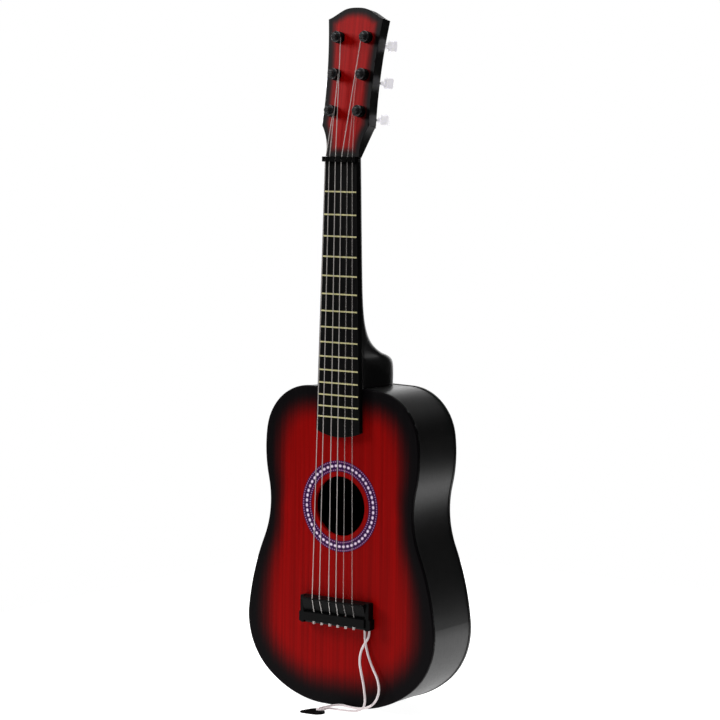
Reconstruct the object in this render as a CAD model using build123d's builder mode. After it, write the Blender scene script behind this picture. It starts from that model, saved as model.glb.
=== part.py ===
"""Toy six-string guitar: hollow wooden body, bolted neck, tied nylon strings and worm-drive tuners.

Units are millimetres.  +X is to the right when facing the soundboard, +Y runs from the front to the
back and +Z is up.  The guitar stands on its tail; the origin is on the floor, under the centre of the
box round the guitar itself, without its pick cord.
"""
from build123d import *
from math import cos, pi, radians, sin, tan
import os

os.makedirs("parts", exist_ok=True)

# ------------------------------------------------------------------------------------------------
# Driving dimensions
# ------------------------------------------------------------------------------------------------
# Body
body_depth = 58.8
plate_thickness = 3.0          # soundboard and back panel
plate_edge_radius = 1.0
side_thickness = 2.5
side_inset = 0.5               # the sides stand in from the edges of the two plates
foot_half_width = 14.0         # flat on the tail that the guitar stands on
outline_arcs = [(94, 40), (61.5, 56), (217, 17), (-84, 36.5), (116, 21.5), (45, 80.5)]
lining_width = 4.0
lining_height = 6.0
well_past = 400                # longer than any piece of the body
block_half_width = 20.0
neck_block_height = 22.0
tail_block_height = 14.0
brace_width = 6.0
brace_height = 9.0
top_brace_heights = [128, 210]
back_brace_heights = [95, 205]
hole_height = 171.5            # centre of the sound hole above the floor
hole_radius = 25.5
rosette_inner_radius = 29.7
rosette_outer_radius = 38.9
sheet_thickness = 0.15         # printed rosette and fret lines

# Strings
string_count = 6
string_radius = 0.35
string_pitch_at_bridge = 8.3
string_nut_x = [-14.2, -10.2, -4.0, 2.0, 8.2, 13.2]
string_saddle_x = [-20.8, -13.3, -3.7, 3.9, 11.6, 20.7]
string_clearance = 0.03
string_gaps = [0.15, 1.4, 0.3]     # from a string's end to the turns on its post, by tuner row
scale_length = 361.9
fret_zero_height = 457.2       # where fret number zero would lie
knot_radius = 1.15
knot_length = 2.6

# Bridge, measured from the soundboard's face outwards
saddle_crest = 10.3
saddle_string_height = 9.9
tie_string_height = 7.0
tie_bar_rise = 8.6
groove_rise = 5.8              # the groove between the tie bar and the ramp to the saddle
saddle_half_width = 31.8
wing_rise = 7.0                # the lower ends past the saddle
wing_half_width = 35.5
tie_wing_half_width = 36.9
wing_corner_radius = 0.8
wing_chamfer = 0.4
bridge_bottom = 69.5
tie_bottom = 71.8
tie_top = 79.0
saddle_height = 90.9           # saddle line above the floor
bridge_top = 93.0
bridge_plate_size = (96, 34)
bridge_plate_corner = 4
bridge_plate_thickness = 2.5

# Fretboard, neck and nut
fretboard_thickness = 4.4
nut_height = 461.7             # lower edge of the nut above the floor
nut_length = 4.2
nut_half_width = 18.3
nut_string_rise = 2.0          # string centres in front of the fretboard at the nut
nut_crest = 2.9
nut_ear_depth = 3.4            # the ears past the fretboard's edges, from just behind its face
nut_ear_lift = 0.2
nut_corner_radius = 0.9
fretboard_nut_half_width = 16.6
fretboard_end_half_width = 22.6
fretboard_end = 235.5
fretboard_end_bulge = 5.0
fret_count = 15
fret_width = 1.2
fret_share = 0.935             # part of the fretboard's width that a fret line covers
# Points of the neck's back: height above the floor, depth behind the soundboard's face, squareness
neck_points = [
    (475, 9.4, 2),
    (435, 9.6, 2),
    (395, 9.9, 2),
    (365, 10.1, 2.05),
    (350, 10.2, 2.15),
    (340, 10.6, 2.35),
    (330, 12.0, 2.7),
    (320, 15.2, 3.3),
    (311, 21.4, 3.9),
    (304.5, 30.6, 4.4),
    (300, 40.6, 4.8),
    (298, 47.2, 5),
    (295.6, 52.4, 5),
    (292.4, 55.9, 5),
    (288, 57.0, 5),
    (280, 57.0, 5),
    (270, 57.0, 5),
]
neck_section_count = 46
neck_section_crowding = 0.6    # below 1, the sections stand closer together towards the heel
neck_screw_radius = 2.0
neck_screw_bite = 15.0         # screw length inside the heel
neck_screw_head_radius = 3.6
neck_screw_head_height = 2.4
neck_screw_depths = [22.0, 44.0]   # behind the soundboard's face

# Headstock, in its own tilted plane: up the face from the point where it meets the string plane
head_tilt = 8.53
head_pivot_height = 450.8
head_thickness = 11.0
head_face_thickness = 0.6
head_start = 15.6
head_apex = 140.76
head_shoulder = [(16.8, head_start), (18.0, 29), (23.6, 41.3)]      # right of the centre, up the face
head_waist = [(23.6, 41.3), (23.4, 84), (27.6, 131.2)]
head_crown = [(27.6, 131.2), (22, 133.6), (14.2, 138), (0, head_apex)]
# Back corners carved off towards the nut, as triangles of (right of the centre, behind the face)
carve_start = 15.4
carve_end = 43.6
carve_at_start = [(17.0, 3.7), (11.2, 11.3), (17.0, 11.3)]
carve_at_end = [(24.0, 10.8), (23.6, 11.2), (24.0, 11.2)]
post_up = [53.3, 84.2, 115.4]
post_x = 14.2

# Tuners, measured outwards from the headstock's face (negative is behind it)
collar_radius = 5.0
collar_height = 3.0
sleeve_radius = 4.0
sleeve_depth = 8.0
post_radius = 3.0
post_waist_radius = 2.3
post_tail_radius = 2.0
post_top = 10.0
flange_radius = 4.7            # the flange over the turns of string
flange_base = 5.5
flange_top = 6.5
flange_bevel = 0.25
hub_radius = 2.6
hub_rounding = 0.7
winding_base = 3.2
winding_turns = 3
winding_pitch = 0.66
running_clearance = 0.05
plate_sheet = 1.2
plate_half_width = 7.2
plate_bottom_up = 39.5
plate_top_up = 124.5
plate_screw_up = [42.8, 66.5, 97.5, 121.2]
plate_screw_radius = 1.0
plate_screw_bite = 5.0
plate_screw_head_radius = 1.9
plate_screw_head_height = 1.0
gear_teeth = 12
gear_pitch_radius = 3.4
gear_root_radius = 2.7
gear_tip_radius = 3.75
gear_width = 1.8
post_end_radius = 1.6          # riveted end of the post behind its gear
post_end_length = 0.7
tooth_root = 0.75
tooth_tip = 0.35
worm_pitch_radius = 1.6
worm_tip_radius = 2.05
worm_shaft_radius = 1.1
worm_turns = 4
worm_behind_plate = 2.05       # worm axis behind the plate's back face
ear_thickness = 1.2
ear_half_height = 2.2
button_inner_x = 23.6
button_paddle_x = 26.8
button_outer_x = 33.0
button_stem_radius = 2.6
button_height = 9.6
button_thickness = 6.4
button_corner_radius = 2.4
button_chamfer = 0.6
button_turns = [20, -25, 10, 4, -24, 18]
shaft_tip_x = 31.0

# Pick and its cord
cord_radius = 1.1
knot_bead_radius = 1.2
knot_bead_height = 3.5
pick_thickness = 1.0
pick_hole_radius = 1.5
pick_hole_place = (1.3, -23.2)    # level distances from the fretboard's centre line and face
pick_direction = 220               # from the hole towards the tip, degrees from +X
pick_wide_radius = 7.0
pick_wide_half_spacing = 3.4
pick_wide_distance = 3.0
pick_tip_radius = 4.6
pick_tip_distance = 12.2
pick_edge_radius = 0.3

# Cord route: distance right of the centre line, behind the fretboard's face, above the floor
cord_fall_outer = [
    (28.7, 2.2, 69.5),
    (28.7, 2.2, 63.6),
    (29.7, 2.5, 56.6),
    (32.7, 2.2, 47.0),
    (37.6, 1.6, 38.0),
    (43.6, 0.8, 29.5),
    (46.1, -0.2, 20.0),
    (43.4, -0.6, 11.5),
    (37.2, -0.2, 5.4),
    (28.8, 0.4, 2.3),
    (20.5, 0.9, 1.4),
    (12.5, 1.9, 1.5),
    (5.4, 1.7, 2.1),
    (0.4, -2.8, 1.8),
    (-1.7, -9.6, 1.6),
    (-1.3, -15.4, 2.15),
    (-1.1, -20.4, 2.15),
]
cord_fold = [
    (-1.1, -24.2, 2.15),
    (0.3, -25.6, 2.15),
    (2.3, -25.6, 2.15),
    (3.7, -24.2, 2.15),
]
cord_fall_inner = [
    (3.7, -20.4, 2.15),
    (3.8, -15.2, 2.15),
    (7.4, -11.0, 1.25),
    (13.3, -10.2, 1.15),
    (20.4, -9.0, 1.15),
    (28.0, -6.8, 1.3),
    (33.4, -5.0, 4.4),
    (34.2, -3.8, 10.0),
    (32.9, -3.2, 17.0),
    (31.2, -2.6, 25.0),
    (28.6, -2.2, 33.5),
    (26.8, -2.4, 42.0),
    (27.5, -2.2, 50.5),
    (30.0, -0.6, 57.6),
    (33.3, 2.2, 63.7),
    (33.3, 2.2, 69.5),
]

# ------------------------------------------------------------------------------------------------
# Derived places
# ------------------------------------------------------------------------------------------------
whole_depth = body_depth + saddle_crest
board_y = -whole_depth / 2 + saddle_crest            # soundboard's face
string_zero_y = board_y - fretboard_thickness        # fretboard's playing surface
back_y = board_y + body_depth
cavity_front = board_y + plate_thickness
cavity_back = back_y - plate_thickness
inside = side_inset + side_thickness
tuner_side = [-1, -1, -1, 1, 1, 1]
tuner_row = [0, 1, 2, 2, 1, 0]
plate_back = -head_thickness - plate_sheet
worm_depth = plate_back - worm_behind_plate
worm_drop = gear_pitch_radius + worm_pitch_radius
worm_pitch = 2 * pi * gear_pitch_radius / gear_teeth
ear_inner = worm_turns * worm_pitch / 2 + 0.55
winding_top = winding_base + 2 * string_radius + (winding_turns - 1) * winding_pitch
winding_middle = (winding_base + winding_top) / 2


def upright(y):
    """Sketch plane facing the front: local x is X, local y is Z."""
    return Plane.XZ.offset(-y)


def head_plane(x, up, out):
    """Plane parallel to the headstock's face, up along it and out in front of it."""
    tilt = radians(head_tilt)
    y = string_zero_y + up * sin(tilt) - out * cos(tilt)
    z = head_pivot_height + up * cos(tilt) + out * sin(tilt)
    return Plane(origin=(x, y, z), x_dir=(1, 0, 0), z_dir=(0, -cos(tilt), sin(tilt)))


def outline(inset):
    """Body outline from the foot round to the top, mirrored, moved inwards by inset."""
    with BuildSketch() as shape:
        with BuildLine():
            edge = Line((0, inset), (foot_half_width, inset))
            turned = 0
            for radius, turn in outline_arcs:
                size = abs(radius) - inset if radius > 0 else abs(radius) + inset
                swing = turn if radius > 0 else -turn
                edge = JernArc(edge @ 1, edge % 1, size, swing)
                turned += swing
            last_turn = 180 - turned
            JernArc(edge @ 1, edge % 1, (edge @ 1).X / sin(radians(last_turn)), last_turn)
            mirror(about=Plane.YZ)
        make_face()
    return shape.sketch


def fretboard_half_width(z):
    """Half width of the fretboard at a height above the floor."""
    slope = (fretboard_end_half_width - fretboard_nut_half_width) / (nut_height - fretboard_end)
    return fretboard_nut_half_width + slope * (nut_height - z)


def save(piece, label):
    """Label one finished piece and write it to its own file."""
    piece.part.label = label
    export_step(piece.part, f"parts/{label}.step")


# ------------------------------------------------------------------------------------------------
# Body
# ------------------------------------------------------------------------------------------------
with BuildPart() as soundboard:
    with BuildSketch(upright(board_y)):
        add(outline(0))
        with Locations((0, hole_height)):
            Circle(hole_radius, mode=Mode.SUBTRACT)
    extrude(amount=-plate_thickness)
    front_face = soundboard.faces().sort_by(Axis.Y)[0]
    fillet(front_face.outer_wire().edges(), plate_edge_radius)
save(soundboard, "soundboard")
outline_top = soundboard.part.bounding_box().max.Z

with BuildPart() as rosette:
    with BuildSketch(upright(board_y)):
        with Locations((0, hole_height)):
            Circle(rosette_outer_radius)
            Circle(rosette_inner_radius, mode=Mode.SUBTRACT)
    extrude(amount=sheet_thickness)
save(rosette, "rosette_sticker")

with BuildPart() as back_panel:
    with BuildSketch(upright(back_y)):
        add(outline(0))
    extrude(amount=plate_thickness)
    fillet(back_panel.faces().sort_by(Axis.Y)[-1].outer_wire().edges(), plate_edge_radius)
save(back_panel, "back_panel")

for side_name, kept in (("left", Keep.BOTTOM), ("right", Keep.TOP)):
    with BuildPart() as side:
        with BuildSketch(upright(cavity_front)):
            add(outline(side_inset))
            add(outline(inside), mode=Mode.SUBTRACT)
        extrude(amount=-(cavity_back - cavity_front))
        for depth in neck_screw_depths:
            with Locations((0, board_y + depth, outline_top)):
                Cylinder(neck_screw_radius, 4 * inside, mode=Mode.SUBTRACT)
        split(bisect_by=Plane.YZ, keep=kept)
    save(side, f"side_{side_name}")


def lining(y_start, label):
    """Glue strip round the inside of the sides, left open at the neck and tail blocks."""
    with BuildPart() as strip:
        with BuildSketch(upright(y_start)):
            add(outline(inside))
            add(outline(inside + lining_width), mode=Mode.SUBTRACT)
            with Locations((0, hole_height)):
                Rectangle(2 * block_half_width, well_past, mode=Mode.SUBTRACT)
        extrude(amount=-lining_height)
    save(strip, label)


lining(cavity_front, "front_lining")
lining(cavity_back - lining_height, "back_lining")


def block(z_centre, height, label):
    """Solid block between the two plates, shaped to the inside of the sides."""
    with BuildPart() as piece:
        with BuildSketch(upright(cavity_front)):
            add(outline(inside))
            with Locations((0, z_centre)):
                Rectangle(2 * block_half_width, height, mode=Mode.INTERSECT)
        extrude(amount=-(cavity_back - cavity_front))
        if label == "neck_block":
            for depth in neck_screw_depths:
                with Locations((0, board_y + depth, z_centre)):
                    Cylinder(neck_screw_radius, 2 * height, mode=Mode.SUBTRACT)
    save(piece, label)


block(outline_top, 2 * (neck_block_height + inside), "neck_block")
block(0, 2 * (tail_block_height + inside), "tail_block")


def braces(heights, y_start, thickness, label):
    """Cross bars glued inside a plate, stopping at the linings, with lowered ends."""
    with BuildPart() as bars:
        with BuildSketch(upright(y_start)):
            with Locations([(0, z) for z in heights]):
                Rectangle(well_past, brace_width)
            add(outline(inside + lining_width + 1), mode=Mode.INTERSECT)
        extrude(amount=-thickness)
    save(bars, label)


braces(top_brace_heights, cavity_front, brace_height, "top_braces")
braces(back_brace_heights, cavity_back - brace_height, brace_height, "back_braces")

with BuildPart() as bridge_plate:
    with BuildSketch(upright(cavity_front)):
        with Locations((0, (bridge_bottom + bridge_top) / 2)):
            RectangleRounded(*bridge_plate_size, bridge_plate_corner)
    extrude(amount=-bridge_plate_thickness)
save(bridge_plate, "bridge_plate")

# ------------------------------------------------------------------------------------------------
# Strings: knot, hole in the tie bar, saddle, nut, then the inner side of a tuning post
# ------------------------------------------------------------------------------------------------
def string_wire(number):
    """Centre line of one string; number 0 is the lowest-sounding, on the left."""
    hole_x = string_pitch_at_bridge * (number - (string_count - 1) / 2)
    side = tuner_side[number]
    row = tuner_row[number]
    winding_reach = post_waist_radius + 3 * string_radius + string_gaps[row]
    end = head_plane(side * (post_x - winding_reach), post_up[row], winding_middle).origin
    with BuildLine() as line:
        FilletPolyline(
            (hole_x, board_y - tie_string_height, tie_bottom),
            (hole_x, board_y - tie_string_height, tie_top + 0.3),
            (string_saddle_x[number], board_y - saddle_string_height, saddle_height),
            (string_nut_x[number], string_zero_y - nut_string_rise, nut_height + nut_length / 2),
            end,
            radius=2,
        )
    return line


def string_solid(number, radius):
    """Round bar along one string's centre line."""
    wire = string_wire(number)
    with BuildPart() as bar:
        with BuildSketch(Plane(origin=wire.line @ 0, z_dir=wire.line % 0)):
            Circle(radius)
        sweep(path=wire.line)
    return bar


grooves = [string_solid(number, string_radius + string_clearance) for number in range(string_count)]

for number in range(string_count):
    save(string_solid(number, string_radius), f"string_{string_count - number}")

with BuildPart() as string_knots:
    for number in range(string_count):
        hole_x = string_pitch_at_bridge * (number - (string_count - 1) / 2)
        with Locations((hole_x, board_y - tie_string_height, tie_bottom - knot_length / 2)):
            Cylinder(knot_radius, knot_length)
    fillet(string_knots.edges().group_by(Axis.Z)[0], 0.5)
save(string_knots, "string_knots")

# ------------------------------------------------------------------------------------------------
# Bridge
# ------------------------------------------------------------------------------------------------
bridge_profile = [
    (0, bridge_bottom),
    (4.2, bridge_bottom),
    (5.6, tie_bottom),
    (tie_bar_rise, tie_bottom),
    (tie_bar_rise, tie_top),
    (groove_rise, tie_top + 0.6),
    (9.3, saddle_height - 1.0),
    (saddle_crest, saddle_height - 0.4),
    (saddle_crest, saddle_height + 0.4),
    (9.0, saddle_height + 1.2),
    (3.0, bridge_top),
    (0, bridge_top),
]


def wings(half_width, bottom, top):
    """Low block across the whole bridge, with rounded corners and a chamfered face."""
    with BuildPart() as low:
        with BuildSketch(upright(board_y)):
            with Locations((0, (bottom + top) / 2)):
                RectangleRounded(2 * half_width, top - bottom, wing_corner_radius)
        extrude(amount=wing_rise)
        chamfer(low.faces().sort_by(Axis.Y)[0].edges(), wing_chamfer)
    return low.part


with BuildPart() as bridge:
    add(wings(wing_half_width, bridge_bottom, bridge_top))
    add(wings(tie_wing_half_width, bridge_bottom + 0.8, tie_top))
    with Locations((0, board_y - wing_rise / 2, (bridge_bottom + bridge_top) / 2)):
        Box(2 * saddle_half_width, wing_rise, bridge_top - bridge_bottom, mode=Mode.SUBTRACT)
    with BuildSketch(Plane.YZ):
        with BuildLine():
            Polyline([(board_y - rise, z) for rise, z in bridge_profile], close=True)
        make_face()
    extrude(amount=saddle_half_width, both=True)
    fillet(bridge.faces().sort_by(Axis.Y)[0].edges().filter_by(Axis.X), 0.3)
    for groove in grooves:
        add(groove.part, mode=Mode.SUBTRACT)
save(bridge, "bridge")

# ------------------------------------------------------------------------------------------------
# Fretboard, fret lines and nut
# ------------------------------------------------------------------------------------------------
with BuildPart() as fretboard:
    with BuildSketch(upright(board_y)):
        with BuildLine():
            Polyline(
                (-fretboard_end_half_width, fretboard_end),
                (-fretboard_nut_half_width, nut_height),
                (fretboard_nut_half_width, nut_height),
                (fretboard_end_half_width, fretboard_end),
            )
            ThreePointArc(
                (fretboard_end_half_width, fretboard_end),
                (0, fretboard_end - fretboard_end_bulge),
                (-fretboard_end_half_width, fretboard_end),
            )
        make_face()
    extrude(amount=fretboard_thickness)
    chamfer(fretboard.faces().sort_by(Axis.Y)[0].edges(), 0.5)
save(fretboard, "fretboard")

with BuildPart() as fret_lines:
    with BuildSketch(upright(string_zero_y)):
        for number in range(1, fret_count + 1):
            z = fret_zero_height - scale_length * (1 - 2 ** (-number / 12))
            with Locations((0, z)):
                Rectangle(2 * fret_share * fretboard_half_width(z), fret_width)
    extrude(amount=sheet_thickness)
save(fret_lines, "fret_lines")

with BuildPart() as nut:
    nut_middle = nut_height + nut_length / 2
    with Locations((0, board_y - (fretboard_thickness + nut_crest) / 2, nut_middle)):
        Box(2 * fretboard_nut_half_width, fretboard_thickness + nut_crest, nut_length)
    with Locations((0, string_zero_y - nut_ear_lift, nut_middle)):
        Box(2 * nut_half_width, nut_ear_depth, nut_length)
    fillet(nut.edges().filter_by(Axis.Z).sort_by(Axis.X)[-2:], nut_corner_radius)
    fillet(nut.edges().filter_by(Axis.Z).sort_by(Axis.X)[:2], nut_corner_radius)
    for number in range(string_count):
        slot_y = string_zero_y - nut_string_rise - 1
        with Locations((string_nut_x[number], slot_y, nut_middle)):
            Box(2 * (string_radius + string_clearance), 2, 3 * nut_length, mode=Mode.SUBTRACT)
        add(grooves[number].part, mode=Mode.SUBTRACT)
save(nut, "nut")

# ------------------------------------------------------------------------------------------------
# Neck with its heel and headstock
# ------------------------------------------------------------------------------------------------
def neck_section(z, depth, squareness):
    """D-shaped section on a level plane: flat in front, a superellipse behind."""
    half_width = fretboard_half_width(z)
    steps = 8
    points = []
    for step in range(steps + 1):
        angle = pi * step / steps
        reach = abs(cos(angle)) ** (2 / squareness) * half_width
        back = sin(angle) ** (2 / squareness) * depth if 0 < step < steps else 0
        points.append((reach if angle < pi / 2 else -reach, board_y + back))
    with BuildSketch(Plane.XY.offset(z)) as section:
        with BuildLine():
            Spline(points)
            Line(points[-1], points[0])
        make_face()
    return section.sketch


def head_carve(side):
    """Wedge that takes one back corner off the lower end of the headstock."""
    with BuildPart() as wedge:
        for up, corners in ((carve_start, carve_at_start), (carve_end, carve_at_end)):
            across = Plane(origin=head_plane(0, up, 0).origin, x_dir=(1, 0, 0),
                           z_dir=head_plane(0, 0, 0).y_dir)
            with BuildSketch(across):
                with BuildLine():
                    Polyline([(side * x, depth) for x, depth in corners], close=True)
                make_face()
        loft()
    return wedge.part


def head_outline():
    """Headstock outline in its face plane: concave shoulders and sides, ogee top."""
    with BuildSketch() as shape:
        with BuildLine():
            Line((0, head_start), head_shoulder[0])
            ThreePointArc(*head_shoulder)
            ThreePointArc(*head_waist)
            Spline(head_crown, tangents=[(-1, 0.25), (-1, 0)])
            mirror(about=Plane.YZ)
        make_face()
    return shape.sketch


post_places = [
    (tuner_side[number] * post_x, post_up[tuner_row[number]]) for number in range(string_count)
]
plate_screw_places = [(side * post_x, up) for side in (-1, 1) for up in plate_screw_up]
neck_end = outline_top + 0.1

neck_curve = Spline(neck_points)
with BuildPart() as neck:
    for number in range(neck_section_count):
        place = (number / (neck_section_count - 1)) ** neck_section_crowding
        add(neck_section(*(neck_curve @ place)))
    loft(ruled=True)
    with BuildSketch(head_plane(0, 0, -head_face_thickness)):
        add(head_outline())
    extrude(amount=-(head_thickness - head_face_thickness))
    for side in (-1, 1):
        add(head_carve(side), mode=Mode.SUBTRACT)
    with Locations((0, 0, neck_end - well_past / 2)):
        Box(well_past, well_past, well_past, mode=Mode.SUBTRACT)
    with Locations([head_plane(x, up, -head_thickness / 2) for x, up in post_places]):
        Cylinder(sleeve_radius, 2 * head_thickness, mode=Mode.SUBTRACT)
    with Locations([head_plane(x, up, -head_thickness) for x, up in plate_screw_places]):
        Cylinder(plate_screw_radius, 2 * plate_screw_bite, mode=Mode.SUBTRACT)
    for depth in neck_screw_depths:
        with Locations((0, board_y + depth, neck_end)):
            Cylinder(neck_screw_radius, 2 * neck_screw_bite, mode=Mode.SUBTRACT)
save(neck, "neck")

with BuildPart() as head_face:
    with BuildSketch(head_plane(0, 0, 0)):
        add(head_outline())
        with Locations(post_places):
            Circle(sleeve_radius, mode=Mode.SUBTRACT)
    extrude(amount=-head_face_thickness)
save(head_face, "headstock_face")

with BuildPart() as neck_screws:
    screw_seat = outline_top - inside - neck_block_height
    for depth in neck_screw_depths:
        shank_length = neck_end + neck_screw_bite - screw_seat
        with Locations((0, board_y + depth, screw_seat + shank_length / 2)):
            Cylinder(neck_screw_radius, shank_length)
        with Locations((0, board_y + depth, screw_seat - neck_screw_head_height / 2)):
            Cylinder(neck_screw_head_radius, neck_screw_head_height)
save(neck_screws, "neck_screws")

# ------------------------------------------------------------------------------------------------
# Tuners
# ------------------------------------------------------------------------------------------------
def turned(profile):
    """Solid turned about +Z from (radius, height) points."""
    with BuildPart() as solid:
        with BuildSketch(Plane.XZ):
            with BuildLine():
                Polyline(profile, close=True)
            make_face()
        revolve(axis=Axis.Z)
    return solid.part


bushing_bore = post_radius + running_clearance
bushing_shape = turned([
    (bushing_bore, -sleeve_depth),
    (sleeve_radius, -sleeve_depth),
    (sleeve_radius, 0),
    (collar_radius, 0),
    (collar_radius, collar_height - 0.5),
    (collar_radius - 0.3, collar_height),
    (collar_radius - 0.7, collar_height),
    (bushing_bore, collar_height - 0.8),
])
with BuildPart() as bushings:
    with Locations([head_plane(x, up, 0) for x, up in post_places]):
        add(bushing_shape)
save(bushings, "post_bushings")

gear_bottom = worm_depth - gear_width / 2
post_turning = turned([
    (0, gear_bottom - post_end_length),
    (post_end_radius, gear_bottom - post_end_length),
    (post_end_radius, gear_bottom),
    (post_tail_radius, gear_bottom),
    (post_tail_radius, -sleeve_depth - 0.4),
    (post_radius, -sleeve_depth - 0.4),
    (post_radius, winding_base - 0.2),
    (post_waist_radius, winding_base - 0.1),
    (post_waist_radius, flange_base),
    (flange_radius, flange_base),
    (flange_radius, flange_top - flange_bevel),
    (flange_radius - flange_bevel, flange_top),
    (flange_radius - 3 * flange_bevel, flange_top),
    (flange_radius - 4 * flange_bevel, flange_top - flange_bevel),
    (hub_radius, flange_top - flange_bevel),
    (hub_radius, post_top - hub_rounding),
    (hub_radius - hub_rounding / 3, post_top - hub_rounding / 3),
    (hub_radius - hub_rounding, post_top),
    (0, post_top),
])
with BuildPart() as post_shape:
    add(post_turning)
    with BuildSketch(Plane.XY.offset(gear_bottom)):
        Circle(gear_root_radius)
        with BuildSketch(mode=Mode.PRIVATE) as tooth:
            with BuildLine():
                Polyline(
                    (gear_root_radius - 0.2, -tooth_root / 2),
                    (gear_tip_radius, -tooth_tip / 2),
                    (gear_tip_radius, tooth_tip / 2),
                    (gear_root_radius - 0.2, tooth_root / 2),
                    close=True,
                )
            make_face()
        with PolarLocations(0, gear_teeth, start_angle=-90 + 180 / gear_teeth):
            add(tooth.sketch)
    extrude(amount=gear_width)

with BuildPart() as winding_shape:
    with BuildSketch(Plane.XZ):
        for turn in range(winding_turns):
            place = (post_waist_radius + 1.05 * string_radius, winding_base + string_radius + turn * winding_pitch)
            with Locations(place):
                Circle(string_radius)
    revolve(axis=Axis.Z)

with BuildPart() as paddle_shape:
    Box(button_height, button_thickness, button_outer_x - button_paddle_x)
    fillet(paddle_shape.edges().filter_by(Axis.Z), button_corner_radius)
    chamfer(paddle_shape.faces().filter_by(Axis.Z).edges(), button_chamfer)

with BuildPart() as thread_shape:
    with BuildLine() as helix:
        Helix(worm_pitch, worm_turns * worm_pitch, worm_shaft_radius,
              center=(0, 0, -worm_turns * worm_pitch / 2))
    with BuildSketch(Plane(origin=helix.line @ 0, x_dir=(1, 0, 0), z_dir=helix.line % 0)):
        with BuildLine():
            rise = worm_tip_radius - worm_shaft_radius
            Polyline((-0.15, -tooth_root / 2), (rise, -tooth_tip / 2), (rise, tooth_tip / 2),
                     (-0.15, tooth_root / 2), close=True)
        make_face()
    sweep(path=helix.line, is_frenet=True)

for number in range(string_count):
    side = tuner_side[number]
    x, up = post_places[number]
    name = string_count - number

    with BuildPart() as post:
        with Locations(head_plane(x, up, 0)):
            add(post_shape.part)
    save(post, f"post_{name}")

    with BuildPart() as winding:
        with Locations(head_plane(x, up, 0)):
            add(winding_shape.part)
    save(winding, f"winding_{name}")

    worm_origin = head_plane(x, up - worm_drop, worm_depth).origin
    worm_plane = Plane(origin=worm_origin, x_dir=head_plane(0, 0, 0).y_dir, z_dir=(1, 0, 0))
    shaft_start = -(ear_inner + ear_thickness + 0.8)
    shaft_end = shaft_tip_x - post_x
    with BuildPart() as worm_shaft:
        with Locations(worm_plane.offset(side * (shaft_start + shaft_end) / 2)):
            Cylinder(worm_shaft_radius, shaft_end - shaft_start)
        with Locations(worm_plane):
            add(thread_shape.part)
    save(worm_shaft, f"worm_shaft_{name}")

    with BuildPart() as button:
        with Locations(worm_plane.offset(side * ((button_inner_x + button_paddle_x) / 2 - post_x))):
            Cylinder(button_stem_radius, button_paddle_x - button_inner_x)
        paddle_middle = side * ((button_paddle_x + button_outer_x) / 2 - post_x)
        with Locations(worm_plane.offset(paddle_middle).rotated((0, 0, button_turns[number]))):
            add(paddle_shape.part)
        with Locations(worm_plane.offset(side * (shaft_tip_x / 2 - post_x))):
            Cylinder(worm_shaft_radius, shaft_tip_x, mode=Mode.SUBTRACT)
    save(button, f"button_{name}")

for side, side_name in ((-1, "left"), (1, "right")):
    with BuildPart() as plate:
        plate_middle = (plate_bottom_up + plate_top_up) / 2
        with BuildSketch(head_plane(side * post_x, plate_middle, -head_thickness)):
            RectangleRounded(2 * plate_half_width, plate_top_up - plate_bottom_up, 2)
        extrude(amount=-plate_sheet)
        for up in post_up:
            ear_height = plate_back - worm_depth + ear_half_height
            ear_out = plate_back - ear_height / 2 + plate_sheet / 2
            for along in (-1, 1):
                ear_x = side * post_x + along * (ear_inner + ear_thickness / 2)
                with Locations(head_plane(ear_x, up - worm_drop, ear_out)):
                    Box(ear_thickness, 2 * ear_half_height, ear_height + plate_sheet)
            with Locations(head_plane(side * post_x, up, -head_thickness)):
                Cylinder(post_tail_radius + running_clearance, 4 * plate_sheet, mode=Mode.SUBTRACT)
            worm_plane = Plane(origin=head_plane(side * post_x, up - worm_drop, worm_depth).origin,
                               z_dir=(1, 0, 0))
            with Locations(worm_plane):
                Cylinder(worm_shaft_radius + running_clearance, 2 * plate_half_width, mode=Mode.SUBTRACT)
        for up in plate_screw_up:
            with Locations(head_plane(side * post_x, up, -head_thickness)):
                Cylinder(plate_screw_radius, 4 * plate_sheet, mode=Mode.SUBTRACT)
    save(plate, f"tuner_plate_{side_name}")

with BuildPart() as plate_screws:
    shank = plate_screw_bite + plate_sheet
    with Locations([head_plane(x, up, plate_back + shank / 2) for x, up in plate_screw_places]):
        Cylinder(plate_screw_radius, shank)
    head_middle = plate_back - plate_screw_head_height / 2
    with Locations([head_plane(x, up, head_middle) for x, up in plate_screw_places]):
        Cylinder(plate_screw_head_radius, plate_screw_head_height)
save(plate_screws, "tuner_screws")

# ------------------------------------------------------------------------------------------------
# Pick and its cord
# ------------------------------------------------------------------------------------------------
def corner_radii(points):
    """Arc radius at each inner point of a route: as large as its two runs allow."""
    radii = []
    for before, here, after in zip(points, points[1:], points[2:]):
        run_in = Vector(*here) - Vector(*before)
        run_out = Vector(*after) - Vector(*here)
        half_turn = radians(run_in.get_angle(run_out) / 2)
        radii.append(0.45 * min(run_in.length, run_out.length) / tan(half_turn))
    return radii


cord_points = [
    (x, string_zero_y + y, z) for x, y, z in cord_fall_outer + cord_fold + cord_fall_inner
]
cord_radii = corner_radii(cord_points)
print("cord corner radii:", [round(radius, 1) for radius in cord_radii])
with BuildLine() as cord_line:
    FilletPolyline(cord_points, radius=cord_radii)
with BuildPart() as cord:
    with BuildSketch(Plane(origin=cord_line.line @ 0, z_dir=cord_line.line % 0)):
        Circle(cord_radius)
    sweep(path=cord_line.line)
cord_length = sum(edge.length for edge in cord_line.edges())
print("cord length", round(cord_length, 1), "volume", round(cord.part.volume, 1),
      "section times length", round(pi * cord_radius ** 2 * cord_length, 1))
save(cord, "pick_cord")

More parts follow.
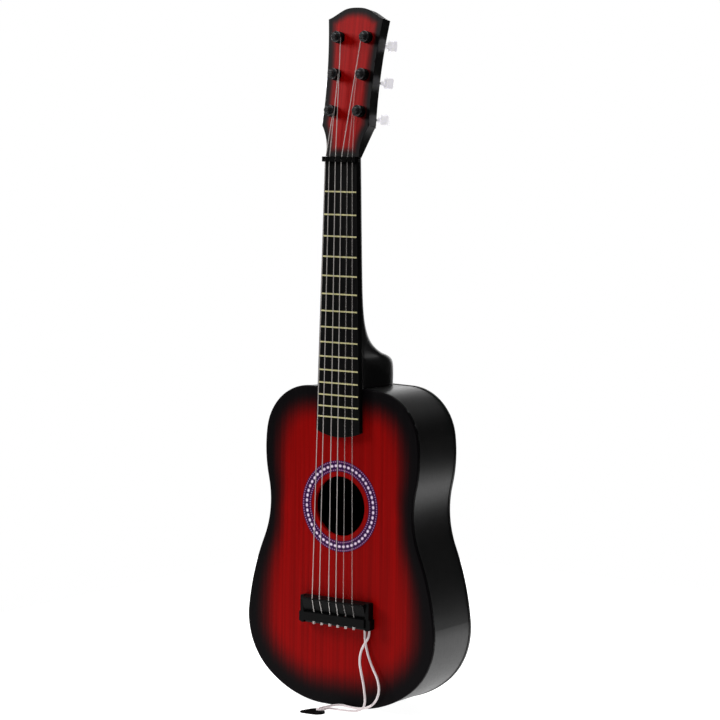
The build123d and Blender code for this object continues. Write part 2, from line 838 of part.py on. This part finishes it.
pick_x, pick_y = pick_hole_place[0], string_zero_y + pick_hole_place[1]
pick_plane = Plane(origin=(pick_x, pick_y, 0), z_dir=(0, 0, 1)).rotated((0, 0, pick_direction))
with BuildPart() as pick:
    with BuildSketch(pick_plane):
        for spacing in (-pick_wide_half_spacing, pick_wide_half_spacing):
            with Locations((pick_wide_distance, spacing)):
                Circle(pick_wide_radius)
        with Locations((pick_tip_distance, 0)):
            Circle(pick_tip_radius)
        make_hull()
        Circle(pick_hole_radius, mode=Mode.SUBTRACT)
    extrude(amount=pick_thickness)
    fillet(pick.edges().group_by(Axis.Z)[-1].sort_by(SortBy.LENGTH)[1:], pick_edge_radius)
save(pick, "pick")

with BuildPart() as cord_knot:
    with Locations((pick_x, pick_y, knot_bead_height / 2 + 0.1)):
        Cylinder(knot_bead_radius, knot_bead_height)
    fillet(cord_knot.edges(), 0.5)
save(cord_knot, "cord_knot")
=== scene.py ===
"""Looks, stage and camera for the toy guitar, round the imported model.

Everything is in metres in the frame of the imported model: -Y is the front, +Z is up, and the floor is
z = 0. Driving lengths are in millimetres, and are multiplied by MM where they are set or used.
"""

from math import ceil, cos, hypot, pi, radians, sin

import bmesh
import bpy
import numpy as np
from mathutils import Matrix, Vector
from mathutils.kdtree import KDTree


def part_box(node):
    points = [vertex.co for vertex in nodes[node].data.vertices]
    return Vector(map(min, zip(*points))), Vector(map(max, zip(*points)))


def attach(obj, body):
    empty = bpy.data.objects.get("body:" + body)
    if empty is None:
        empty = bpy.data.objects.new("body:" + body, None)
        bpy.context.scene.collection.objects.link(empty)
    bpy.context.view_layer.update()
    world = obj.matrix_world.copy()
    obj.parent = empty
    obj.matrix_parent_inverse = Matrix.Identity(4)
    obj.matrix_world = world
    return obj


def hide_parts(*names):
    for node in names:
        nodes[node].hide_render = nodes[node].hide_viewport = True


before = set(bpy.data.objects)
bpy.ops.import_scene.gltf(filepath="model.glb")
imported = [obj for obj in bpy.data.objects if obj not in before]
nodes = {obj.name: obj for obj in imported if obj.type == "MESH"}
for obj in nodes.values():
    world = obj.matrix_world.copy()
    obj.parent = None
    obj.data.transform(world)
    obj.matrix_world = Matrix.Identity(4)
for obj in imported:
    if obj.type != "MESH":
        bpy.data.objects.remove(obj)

bpy.context.view_layer.update()

MM = 0.001
scene = bpy.context.scene

# ---------------------------------------------------------------- camera
TARGET = Vector((22.06, -28.65, 297.4)) * MM
CAMERA_DISTANCE = 2134.7 * MM
CAMERA_AZIMUTH = radians(34.92)
CAMERA_ELEVATION = radians(5.432)
CAMERA_ROLL = radians(0.672)
CAMERA_LENS_MM = 128.0
CAMERA_SENSOR_MM = 36.0

backward = Vector((
    cos(CAMERA_ELEVATION) * sin(CAMERA_AZIMUTH),
    -cos(CAMERA_ELEVATION) * cos(CAMERA_AZIMUTH),
    sin(CAMERA_ELEVATION),
))
level_right = Vector((cos(CAMERA_AZIMUTH), sin(CAMERA_AZIMUTH), 0))
level_up = backward.cross(level_right)
camera_right = level_right * cos(CAMERA_ROLL) + level_up * sin(CAMERA_ROLL)
camera_up = level_up * cos(CAMERA_ROLL) - level_right * sin(CAMERA_ROLL)

camera_data = bpy.data.cameras.new("camera")
camera_data.lens = CAMERA_LENS_MM
camera_data.sensor_width = CAMERA_SENSOR_MM
camera = bpy.data.objects.new("camera", camera_data)
scene.collection.objects.link(camera)
axes = Matrix((camera_right, camera_up, backward)).transposed().to_4x4()
camera.matrix_world = Matrix.Translation(TARGET + backward * CAMERA_DISTANCE) @ axes
scene.camera = camera

# ---------------------------------------------------------------- places in the model
PLAYING_SURFACE_Y = -28.65       # the fretboard's face, in millimetres
HOLE_CENTRE_Z = 171.5            # the sound hole, in millimetres
HOLE_RADIUS = 25.5


# ---------------------------------------------------------------- material helpers
class Shader:
    """A node material, with short calls for the nodes that the finishes share."""

    def __init__(self, name, roughness, **settings):
        self.material = bpy.data.materials.new(name)
        self.material.use_nodes = True
        self.tree = self.material.node_tree
        self.surface = self.tree.nodes["Principled BSDF"]
        self.place = self.tree.nodes.new("ShaderNodeTexCoord").outputs["Object"]
        self.surface.inputs["Roughness"].default_value = roughness
        for socket, value in settings.items():
            self.surface.inputs[socket.replace("_", " ")].default_value = value

    def node(self, kind, inputs, output=0, **settings):
        made = self.tree.nodes.new("ShaderNode" + kind)
        for name, value in settings.items():
            setattr(made, name, value)
        for socket, value in inputs.items():
            if isinstance(value, bpy.types.NodeSocket):
                self.tree.links.new(value, made.inputs[socket])
            else:
                made.inputs[socket].default_value = value
        return made.outputs[output]

    def math(self, operation, *values, clamp=False):
        return self.node("Math", dict(enumerate(values)), operation=operation, use_clamp=clamp)

    def stretched(self, per_metre):
        """The place, with that many cells to the metre along X, Y and Z."""
        return self.node("Mapping", {"Vector": self.place, "Scale": per_metre})

    def noise(self, per_metre, detail=2.0, roughness=0.5):
        where = self.stretched(per_metre)
        return self.node("TexNoise", {
            "Vector": where, "Scale": 1.0, "Detail": detail, "Roughness": roughness,
        })

    def between(self, value, low, high, to_low=0.0, to_high=1.0):
        """value from low to high becomes to_low to to_high, smoothly, and stays inside them."""
        return self.node("MapRange", {
            "Value": value, "From Min": low, "From Max": high, "To Min": to_low, "To Max": to_high,
        }, interpolation_type="SMOOTHSTEP")

    def mix(self, share, first, second):
        made = self.tree.nodes.new("ShaderNodeMix")
        made.data_type = "RGBA"
        for socket, value in ((made.inputs[0], share), (made.inputs[6], first), (made.inputs[7], second)):
            if isinstance(value, bpy.types.NodeSocket):
                self.tree.links.new(value, socket)
            else:
                socket.default_value = value
        return made.outputs[2]

    def finish(self, colour=None, roughness=None, height=None, depth=0.0001, strength=1.0):
        for socket, value in (("Base Color", colour), ("Roughness", roughness)):
            if isinstance(value, bpy.types.NodeSocket):
                self.tree.links.new(value, self.surface.inputs[socket])
            elif value is not None:
                self.surface.inputs[socket].default_value = value
        if height is not None:
            bump = self.node("Bump", {"Height": height, "Distance": depth, "Strength": strength})
            self.tree.links.new(bump, self.surface.inputs["Normal"])
        return self.material


def rgb(red, green, blue):
    return (red, green, blue, 1.0)


def burst_wood(name, light, gloss):
    """Deep red grain that fades to black where the attribute burst falls from 1 to 0. light scales the red;
    above 1 it is painted sheen.
    """
    s = Shader(name, 0.4, Specular_IOR_Level=gloss)
    streaks = s.noise((330.0, 1.0, 2.2), 2.0, 0.5)
    fibres = s.noise((900.0, 1.0, 9.0), 2.0)
    clouds = s.noise((22.0, 1.0, 5.0), 1.0)
    grain = s.math("ADD", s.math("MULTIPLY", streaks, 0.55), s.math("MULTIPLY", fibres, 0.45))
    dark_red = rgb(0.155 * light, 0.0005, 0.0004)
    light_red = rgb(0.255 * light, 0.0008, 0.0006)
    red = s.mix(s.between(grain, 0.3, 0.7), dark_red, light_red)
    red = s.mix(s.between(clouds, 0.3, 0.7, 0.0, 0.3), red, rgb(0.21 * light, 0.0015, 0.001))
    burst = s.node("Attribute", {}, output=2, attribute_name="burst")
    sprayed = s.math("ADD", burst, s.math("MULTIPLY", s.math("SUBTRACT", streaks, 0.5), 0.1))
    thin = s.math("POWER", s.between(sprayed, 0.1, 1.0), 1.8)
    colour = s.mix(thin, rgb(0.0025, 0.002, 0.0025), red)
    return s.finish(colour, s.between(fibres, 0.2, 0.8, 0.36, 0.5), grain, 0.00012, 0.35)


def black_paint(name, base, rough, gloss):
    """Satin black paint over wood: fine lines along the height, and a slight orange peel."""
    s = Shader(name, rough, Specular_IOR_Level=gloss)
    lines = s.noise((900.0, 900.0, 26.0), 2.0)
    peel = s.noise((260.0, 260.0, 260.0), 1.0)
    height = s.math("ADD", s.math("MULTIPLY", lines, 0.7), s.math("MULTIPLY", peel, 0.15))
    colour = s.mix(lines, rgb(base * 0.7, base * 0.7, base * 0.75), rgb(base * 1.3, base * 1.3, base * 1.35))
    return s.finish(colour, s.between(height, 0.25, 0.75, rough - 0.05, rough + 0.07), height, 0.00008, 0.3)


def inner_wood():
    s = Shader("bare_wood", 0.75)
    rings = s.noise((160.0, 160.0, 8.0), 4.0, 0.6)
    pores = s.noise((1500.0, 1500.0, 60.0), 2.0)
    colour = s.mix(rings, rgb(0.38, 0.24, 0.12), rgb(0.66, 0.48, 0.29))
    return s.finish(colour, s.between(pores, 0.2, 0.8, 0.65, 0.85), pores, 0.0002, 0.5)


def gold_print():
    s = Shader("gold_print", 0.45, Metallic=0.15)
    foil = s.noise((900.0, 900.0, 900.0), 3.0)
    colour = s.mix(foil, rgb(0.40, 0.36, 0.15), rgb(0.66, 0.62, 0.34))
    return s.finish(colour, s.between(foil, 0.2, 0.8, 0.35, 0.6), foil, 0.00004, 0.4)


def moulded(name, base, rough, gloss):
    """Glossy moulded plastic with a fine moulding texture."""
    s = Shader(name, rough, Specular_IOR_Level=gloss)
    skin = s.noise((700.0, 700.0, 700.0), 2.0)
    flow = s.noise((60.0, 60.0, 60.0), 2.0)
    colour = s.mix(flow, rgb(base * 0.7, base * 0.75, base * 0.8), rgb(base * 1.3, base * 1.3, base * 1.3))
    return s.finish(colour, s.between(flow, 0.25, 0.75, rough - 0.06, rough + 0.1), skin, 0.00004, 0.35)


def nylon(name, body):
    """Drawn nylon that lets through what lies behind it; body is how much of it is seen."""
    s = Shader(name, 0.25, Alpha=body)
    drawn = s.noise((3000.0, 3000.0, 40.0), 2.0)
    colour = s.mix(drawn, rgb(0.62, 0.58, 0.56), rgb(0.84, 0.80, 0.78))
    return s.finish(colour, s.between(drawn, 0.2, 0.8, 0.18, 0.35), drawn, 0.00003, 0.3)


def metal(name, dark, light, rough, metallic):
    """Plated metal with a fine brushed texture."""
    s = Shader(name, rough, Metallic=metallic)
    brushed = s.noise((160.0, 1400.0, 1400.0), 3.0)
    spots = s.noise((300.0, 300.0, 300.0), 2.0)
    colour = s.mix(spots, rgb(*dark), rgb(*light))
    return s.finish(colour, s.between(brushed, 0.2, 0.8, rough - 0.08, rough + 0.12), brushed, 0.00004, 0.35)


def milky_with_painted_glow():
    # The near-white emission is a painted glow: it keeps the milky buttons bright, though they are no lamp.
    s = Shader("clear_button", 0.28, IOR=1.45, Subsurface_Weight=0.6, Emission_Strength=0.42)
    s.surface.inputs["Emission Color"].default_value = rgb(0.93, 0.9, 0.96)
    s.surface.inputs["Subsurface Radius"].default_value = (0.004, 0.004, 0.0045)
    cloud = s.noise((220.0, 220.0, 220.0), 3.0)
    colour = s.mix(cloud, rgb(0.90, 0.88, 0.92), rgb(0.98, 0.97, 0.99))
    return s.finish(colour, s.between(cloud, 0.25, 0.75, 0.2, 0.4), cloud, 0.0001, 0.4)


def braided():
    s = Shader("white_cord", 0.85, Sheen_Weight=0.3)
    fibre = s.noise((2600.0, 2600.0, 2600.0), 3.0)
    colour = s.mix(fibre, rgb(0.62, 0.54, 0.55), rgb(0.82, 0.74, 0.75))
    return s.finish(colour, s.between(fibre, 0.2, 0.8, 0.75, 0.95), fibre, 0.0002, 0.6)


BEAD_RING = 34.4                 # radii of the rosette's rings, in millimetres
OUTER_DOT_RING = 37.8
INNER_DOT_RING = 30.9
BEAD_COUNT = 50
OUTER_DOT_COUNT = 116
INNER_DOT_COUNT = 96
DOT_SIZE = 0.5


def printed_rosette():
    """Beads and two rows of dots on dark purple, set out round the sound hole's centre."""
    s = Shader("rosette_print", 0.45, Specular_IOR_Level=0.08)
    parts = s.tree.nodes.new("ShaderNodeSeparateXYZ")
    s.tree.links.new(s.place, parts.inputs[0])
    across = s.math("DIVIDE", parts.outputs[0], MM)
    above = s.math("SUBTRACT", s.math("DIVIDE", parts.outputs[2], MM), HOLE_CENTRE_Z)
    radius = s.math("SQRT", s.math("ADD", s.math("POWER", across, 2.0), s.math("POWER", above, 2.0)))
    turn = s.math("DIVIDE", s.math("ARCTAN2", above, across), 2 * pi)

    def dots(ring, count, along, wide, soft):
        """1 inside each of count ovals round that ring, 0 outside them."""
        cell = s.math("SUBTRACT", s.math("FRACT", s.math("MULTIPLY", turn, float(count))), 0.5)
        u = s.math("MULTIPLY", cell, 2 * pi * ring / count / along)
        v = s.math("DIVIDE", s.math("SUBTRACT", radius, ring), wide)
        away = s.math("SQRT", s.math("ADD", s.math("POWER", u, 2.0), s.math("POWER", v, 2.0)))
        return s.between(away, 1.0 - soft, 1.0 + soft, 1.0, 0.0)

    ink = s.noise((800.0, 800.0, 800.0), 2.0)
    ground = s.mix(ink, rgb(0.019, 0.0025, 0.034), rgb(0.032, 0.004, 0.052))
    beads = dots(BEAD_RING, BEAD_COUNT, 1.55, 1.2, 0.25)
    shine = dots(BEAD_RING, BEAD_COUNT, 0.8, 0.6, 0.5)
    outer = dots(OUTER_DOT_RING, OUTER_DOT_COUNT, DOT_SIZE, DOT_SIZE, 0.3)
    inner = dots(INNER_DOT_RING, INNER_DOT_COUNT, DOT_SIZE, DOT_SIZE, 0.3)
    small = s.math("MAXIMUM", outer, inner)
    colour = s.mix(small, ground, rgb(0.42, 0.18, 0.36))
    colour = s.mix(beads, colour, rgb(0.52, 0.38, 0.54))
    colour = s.mix(s.math("MULTIPLY", shine, beads), colour, rgb(0.78, 0.68, 0.78))
    height = s.math("ADD", s.math("MAXIMUM", beads, small), s.math("MULTIPLY", ink, 0.3))
    return s.finish(colour, s.between(ink, 0.2, 0.8, 0.36, 0.5), height, 0.00006, 0.5)


finishes = {
    "red_burst": burst_wood("red_burst", 1.0, 0.035),
    "black_body": black_paint("black_body", 0.002, 0.38, 0.45),
    "bare_wood": inner_wood(),
    "black_fretboard": black_paint("black_fretboard", 0.0022, 0.5, 0.04),
    "gold_print": gold_print(),
    "rosette_print": printed_rosette(),
    "black_plastic": moulded("black_plastic", 0.002, 0.3, 0.05),
    "nylon": nylon("nylon", 0.45),
    "black_post": metal("black_post", (0.03, 0.03, 0.032), (0.07, 0.07, 0.072), 0.22, 0.6),
    "steel": metal("steel", (0.42, 0.42, 0.43), (0.62, 0.62, 0.62), 0.32, 1.0),
    "clear_button": milky_with_painted_glow(),
    "white_cord": braided(),
    "black_pick": moulded("black_pick", 0.003, 0.5, 0.02),
}

for cad_object in nodes.values():
    for material_slot in cad_object.material_slots:
        material_slot.material = finishes[material_slot.material.name.split(".")[0]]

clear_nylon = nylon("clear_nylon", 0.18)
for thin_string in ("string_1", "string_2"):
    nodes[thin_string].material_slots[0].material = clear_nylon


# ---------------------------------------------------------------- piece helpers
def piece(name, data, slot_name, body="guitar"):
    made = bpy.data.objects.new(name, data)
    scene.collection.objects.link(made)
    data.materials.clear()
    data.materials.append(finishes[slot_name])
    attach(made, body)
    return made


def gridded(node, step):
    """A copy of a CAD node's mesh, cut into cells of that size across X and Z."""
    mesh = bmesh.new()
    mesh.from_mesh(nodes[node].data)
    bmesh.ops.remove_doubles(mesh, verts=mesh.verts, dist=1e-6)
    low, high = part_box(node)
    for axis in (0, 2):
        normal = Vector((0, 0, 0))
        normal[axis] = 1
        for i in range(1, ceil((high[axis] - low[axis]) / step)):
            cut = Vector(low)
            cut[axis] += i * step
            everything = mesh.verts[:] + mesh.edges[:] + mesh.faces[:]
            bmesh.ops.bisect_plane(mesh, geom=everything, plane_co=cut, plane_no=normal, dist=1e-7)
    return mesh


def rim_points(node, spacing, keep):
    """Points along the node's back outer edge, as (x, z), where keep(x, z) is true."""
    mesh = bmesh.new()
    mesh.from_mesh(nodes[node].data)
    bmesh.ops.remove_doubles(mesh, verts=mesh.verts, dist=1e-6)
    mesh.normal_update()
    found = []
    for edge in mesh.edges:
        if len(edge.link_faces) != 2:
            continue
        facing = sorted(abs(face.normal.y) for face in edge.link_faces)
        backs = max(face.normal.y for face in edge.link_faces)
        if facing[0] > 0.5 or backs < 0.9:
            continue
        first, last = (v.co for v in edge.verts)
        count = max(1, ceil((last - first).length / spacing))
        found += [first.lerp(last, i / count) for i in range(count)]
    mesh.free()
    return [(p.x, p.z) for p in found if keep(p.x, p.z)]


def burst_piece(name, node, step, keep, band):
    """The node again, fine enough to hold how far each point is inside the sprayed edge."""
    mesh = gridded(node, step)
    tree_points = rim_points(node, step / 2, keep)
    tree = KDTree(len(tree_points))
    for i, (x, z) in enumerate(tree_points):
        tree.insert((x, 0, z), i)
    tree.balance()
    burst = []
    for vertex in mesh.verts:
        x, z = vertex.co.x, vertex.co.z
        burst.append(min(1.0, tree.find((x, 0, z))[2] / band(z)))
    data = bpy.data.meshes.new(name)
    mesh.to_mesh(data)
    mesh.free()
    attribute = data.attributes.new("burst", "FLOAT", "POINT")
    attribute.data.foreach_set("value", np.array(burst, np.float32))
    data.shade_smooth()
    data.set_sharp_from_angle(angle=radians(30))
    made = piece(name, data, "red_burst")
    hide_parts(node)
    return made


# ---------------------------------------------------------------- sprayed fronts
LOWER_BAND = 36.0 * MM
WAIST_BAND = 19.0 * MM
UPPER_BAND = 33.0 * MM
LOWER_Z = 70.0 * MM
WAIST_Z = 165.0 * MM
UPPER_Z = 235.0 * MM
HEAD_BAND = 10.0 * MM
POST_CLEARANCE = 8.0 * MM
HOLE_MARGIN = 2.0
BODY_CELL = 4.0 * MM             # how finely the fronts are cut up
HEAD_CELL = 2.0 * MM
HEAD_PAINTED_SHEEN = 1.55                # the headstock's red is made 1.55 times lighter than the body's as painted sheen, for the light its tilted face reflects; it is glossier too
HEAD_GLOSS = 0.09


def body_band(z):
    """The width of the sprayed edge: widest round the lower bout and narrowest at the waist."""
    heights = (LOWER_Z, WAIST_Z, UPPER_Z)
    return float(np.interp(z, heights, (LOWER_BAND, WAIST_BAND, UPPER_BAND)))


def outside_hole(x, z):
    return hypot(x, z - HOLE_CENTRE_Z * MM) > (HOLE_RADIUS + HOLE_MARGIN) * MM


def outside_posts(x, z):
    for number in range(1, 7):
        low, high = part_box(f"post_{number}")
        middle = (low + high) / 2
        if hypot(x - middle.x, z - middle.z) < POST_CLEARANCE:
            return False
    return True


def head_band(z):
    """The headstock's sprayed edge has one width all the way up."""
    return HEAD_BAND


burst_piece("sprayed_front", "soundboard", BODY_CELL, outside_hole, body_band)
sprayed_head = burst_piece("sprayed_head", "headstock_face", HEAD_CELL, outside_posts, head_band)
# The headstock gets a lighter copy of the red: painted sheen standing in for the light its tilted face
# reflects.
sprayed_head.data.materials[0] = burst_wood("red_head_painted_sheen", HEAD_PAINTED_SHEEN, HEAD_GLOSS)


# ---------------------------------------------------------------- pick cord
CORD_RADIUS = 1.1
CORD_CORE_RADIUS = 0.93
STRAND_RADIUS = 0.24
STRAND_SWAY = 0.1
STRANDS_EACH_WAY = 5
STRAND_PITCH = 6.5
STRAND_SIDES = 5
STRAND_STEP = 0.4

# The route's points: X, the distance behind the playing surface, and Z, in millimetres.
FALL_OUTER = [
    (28.7, 2.2, 69.5), (28.7, 2.2, 63.6), (29.7, 2.5, 56.6), (32.7, 2.2, 47.0), (37.6, 1.6, 38.0),
    (43.6, 0.8, 29.5), (46.1, -0.2, 20.0), (43.4, -0.6, 11.5), (37.2, -0.2, 5.4), (28.8, 0.4, 2.3),
    (20.5, 0.9, 1.4), (12.5, 1.9, 1.5), (5.4, 1.7, 2.1), (0.4, -2.8, 1.8), (-1.7, -9.6, 1.6),
    (-1.3, -15.4, 2.15), (-1.1, -20.4, 2.15),
]
FOLD = [(-1.1, -24.2, 2.15), (0.3, -25.6, 2.15), (2.3, -25.6, 2.15), (3.7, -24.2, 2.15)]
FALL_INNER = [
    (3.7, -20.4, 2.15), (3.8, -15.2, 2.15), (7.4, -11.0, 1.25), (13.3, -10.2, 1.15),
    (20.4, -9.0, 1.15), (28.0, -6.8, 1.3), (33.4, -5.0, 4.4), (34.2, -3.8, 10.0), (32.9, -3.2, 17.0),
    (31.2, -2.6, 25.0), (28.6, -2.2, 33.5), (26.8, -2.4, 42.0), (27.5, -2.2, 50.5),
    (30.0, -0.6, 57.6), (33.3, 2.2, 63.7), (33.3, 2.2, 69.5),
]
route = [Vector((x, PLAYING_SURFACE_Y + y, z)) * MM for x, y, z in FALL_OUTER + FOLD + FALL_INNER]


def nurbs(name, points, bevel):
    """One open smooth spline with those control points."""
    data = bpy.data.curves.new(name, "CURVE")
    data.dimensions = "3D"
    data.resolution_u = 8
    data.bevel_depth = bevel
    data.bevel_resolution = 3
    data.use_fill_caps = True
    spline = data.splines.new("NURBS")
    spline.points.add(len(points) - 1)
    for point, place in zip(spline.points, points):
        point.co = (*place, 1.0)
    spline.order_u = 3
    spline.use_endpoint_u = True
    return data


def line_of(data, step):
    """Points along the middle of a curve, about step apart, as an array."""
    bare = bpy.data.objects.new("bare", data.copy())
    bare.data.bevel_depth = 0
    mesh = bpy.data.meshes.new_from_object(bare)
    line = np.array([vertex.co for vertex in mesh.vertices])
    bpy.data.meshes.remove(mesh)
    bpy.data.curves.remove(bare.data)
    along = np.concatenate([[0], np.cumsum(np.linalg.norm(np.diff(line, axis=0), axis=1))])
    at = np.linspace(0, along[-1], ceil(along[-1] / step) + 1)
    return np.stack([np.interp(at, along, line[:, k]) for k in range(3)], axis=1), at


def carried_frames(line):
    """The direction along the line at each point, and two directions across it that don't twist."""
    along = np.gradient(line, axis=0)
    along /= np.linalg.norm(along, axis=1)[:, None]
    side = np.cross(along[0], (1.0, 0.0, 0.0))
    sides = []
    for direction in along:
        side = side - direction * side.dot(direction)
        side = side / np.linalg.norm(side)
        sides.append(side)
    sides = np.array(sides)
    return along, sides, np.cross(along, sides)


def add_tube(mesh, line, radius, sides):
    """A closed tube round the line, added to a bmesh."""
    _, first, second = carried_frames(line)
    angles = [2 * pi * k / sides for k in range(sides)]
    rings = []
    for centre, a, b in zip(line, first, second):
        rings.append([mesh.verts.new(centre + radius * (a * cos(t) + b * sin(t))) for t in angles])
    for ring, following in zip(rings, rings[1:]):
        for k in range(sides):
            n = (k + 1) % sides
            mesh.faces.new((ring[k], ring[n], following[n], following[k]))
    mesh.faces.new(rings[0][::-1])
    mesh.faces.new(rings[-1])


def braid(name, data):
    """The strands round a cord's core: half wind each way, and pass over and under each other."""
    line, at = line_of(data, STRAND_STEP * MM)
    _, first, second = carried_frames(line)
    mesh = bmesh.new()
    for way in (1, -1):
        for k in range(STRANDS_EACH_WAY):
            turn = way * 2 * pi * at / (STRAND_PITCH * MM) + 2 * pi * k / STRANDS_EACH_WAY
            weave = way * np.cos(STRANDS_EACH_WAY * 2 * pi * at / (STRAND_PITCH * MM))
            away = (CORD_RADIUS - STRAND_RADIUS - STRAND_SWAY * (1 - weave)) * MM
            strand = line + (away * np.cos(turn))[:, None] * first + (away * np.sin(turn))[:, None] * second
            add_tube(mesh, strand, STRAND_RADIUS * MM, STRAND_SIDES)
    bmesh.ops.recalc_face_normals(mesh, faces=mesh.faces)
    made = bpy.data.meshes.new(name)
    mesh.to_mesh(made)
    mesh.free()
    made.shade_smooth()
    return piece(name, made, "white_cord")


cord_data = nurbs("cord_core", route, CORD_CORE_RADIUS * MM)
cord = piece("cord_core", cord_data, "white_cord")
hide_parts("pick_cord")
cord_braid = braid("cord_braid", cord_data)

# ---------------------------------------------------------------- knot at the pick
KNOT_SIZE = 0.62
KNOT_RADIUS = 0.62
KNOT_DEPTH = 1.1                 # the knot's height over its size
KNOT_POINTS = 90
KNOT_SIDES = 8


def trefoil(name, centre, size, radius, node):
    """A small overhand knot, as a closed tube along a trefoil."""
    mesh = bmesh.new()
    line = []
    for i in range(KNOT_POINTS + 1):
        t = 2 * pi * i / KNOT_POINTS
        line.append((
            size * (sin(t) + 2 * sin(2 * t)),
            size * (cos(t) - 2 * cos(2 * t)),
            -size * KNOT_DEPTH * sin(3 * t),
        ))
    add_tube(mesh, np.array(line) * MM + np.array(centre), radius * MM, KNOT_SIDES)
    bmesh.ops.recalc_face_normals(mesh, faces=mesh.faces)
    made = bpy.data.meshes.new(name)
    mesh.to_mesh(made)
    mesh.free()
    made.shade_smooth()
    knot = piece(name, made, "white_cord")
    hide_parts(node)
    return knot


low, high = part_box("cord_knot")
knot = trefoil("pick_knot", (low + high) / 2, KNOT_SIZE, KNOT_RADIUS, "cord_knot")

# ---------------------------------------------------------------- stage
FLOOR_HALF_X = 0.5
FLOOR_HALF_Y = 0.65
FLOOR_GLOW = 0.97                # a lit table, so that the floor stays white round the guitar
ROOM_STRENGTH = 0.03


def emission_world():
    """White behind the object, and a dim room for everything that it lights or reflects in."""
    world = bpy.data.worlds.new("room")
    world.use_nodes = True
    tree = world.node_tree
    tree.nodes.clear()
    room = tree.nodes.new("ShaderNodeBackground")
    room.inputs["Color"].default_value = rgb(1.0, 1.0, 1.0)
    room.inputs["Strength"].default_value = ROOM_STRENGTH
    backdrop = tree.nodes.new("ShaderNodeBackground")
    backdrop.inputs["Color"].default_value = rgb(1.0, 1.0, 1.0)
    backdrop.inputs["Strength"].default_value = 1.0
    rays = tree.nodes.new("ShaderNodeLightPath")
    chosen = tree.nodes.new("ShaderNodeMixShader")
    output = tree.nodes.new("ShaderNodeOutputWorld")
    tree.links.new(rays.outputs["Is Camera Ray"], chosen.inputs[0])
    tree.links.new(room.outputs[0], chosen.inputs[1])
    tree.links.new(backdrop.outputs[0], chosen.inputs[2])
    tree.links.new(chosen.outputs[0], output.inputs[0])
    scene.world = world


emission_world()
scene.view_settings.view_transform = "Standard"

floor_mesh = bmesh.new()
bmesh.ops.create_grid(floor_mesh, x_segments=1, y_segments=1, size=1.0)
floor_data = bpy.data.meshes.new("floor")
floor_mesh.to_mesh(floor_data)
floor_mesh.free()
floor = bpy.data.objects.new("floor", floor_data)
floor.scale = (FLOOR_HALF_X, FLOOR_HALF_Y, 1.0)
scene.collection.objects.link(floor)
floor_shader = Shader("floor", 0.9, Specular_IOR_Level=0.0, Emission_Strength=FLOOR_GLOW)
floor_shader.surface.inputs["Emission Color"].default_value = rgb(1.0, 1.0, 1.0)
floor_data.materials.append(floor_shader.finish(rgb(0.5, 0.5, 0.5)))


def softbox(name, azimuth, elevation, distance, width, height, watts, target=(0.0, 0.0, 0.3)):
    """A rectangular light at that bearing from the target; azimuth 0 is the front and 90 is +X."""
    a, e = radians(azimuth), radians(elevation)
    away = Vector((sin(a) * cos(e), -cos(a) * cos(e), sin(e)))
    data = bpy.data.lights.new(name, "AREA")
    data.shape = "RECTANGLE"
    data.size = width
    data.size_y = height
    data.energy = watts
    lamp = bpy.data.objects.new(name, data)
    scene.collection.objects.link(lamp)
    lamp.location = Vector(target) + away * distance
    lamp.rotation_mode = "QUATERNION"
    lamp.rotation_quaternion = away.to_track_quat("Z", "Y")
    lamp.visible_camera = False


softbox("key", -66.0, 24.0, 1.9, 0.35, 0.7, 40.0)
softbox("overhead", 0.0, 88.0, 1.9, 2.2, 2.2, 45.0)
softbox("backdrop", 215.0, 9.0, 1.6, 2.6, 0.9, 15.0)

# ---------------------------------------------------------------- the end
bpy.context.view_layer.update()
